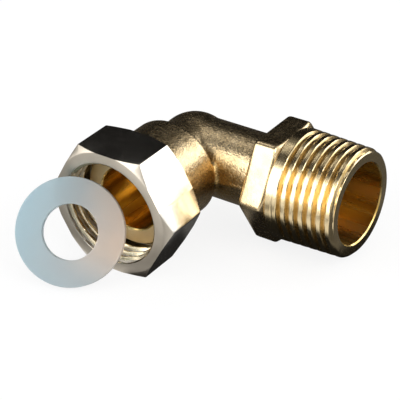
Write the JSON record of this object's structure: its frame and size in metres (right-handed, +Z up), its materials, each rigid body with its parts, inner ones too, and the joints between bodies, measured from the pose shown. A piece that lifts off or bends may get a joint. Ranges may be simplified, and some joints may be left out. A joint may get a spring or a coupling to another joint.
{
  "type": "male union elbow fitting",
  "caption": "Right-angle pipe fitting with a male taper thread on one arm, a swivel union nut on the other, and its flat sealing ring.",
  "frame": {"origin": "on the male thread's axis, at the shoulder where the thread leaves the hexagon", "axes": "+X out along the male thread, -Y out of the union nut's mouth, +Z up"},
  "size_m": [0.0508, 0.0512, 0.0238],
  "materials": {
    "brass": "satin forged brass, turned bright on the thread and in the bores",
    "nickel": "bright nickel plating on brass",
    "ring": "milky translucent silicone, satin"
  },
  "bodies": {
    "elbow": {"elbow_body": "brass", "sealing_ring": "ring"},
    "nut": {"union_nut": "nickel"}
  },
  "joints": [
    {"name": "nut_spin", "type": "hinge", "parent": "elbow", "child": "nut", "pos_m": [-0.0226, 0, 0], "axis": [0, -1, 0], "continuous": true}
  ]
}
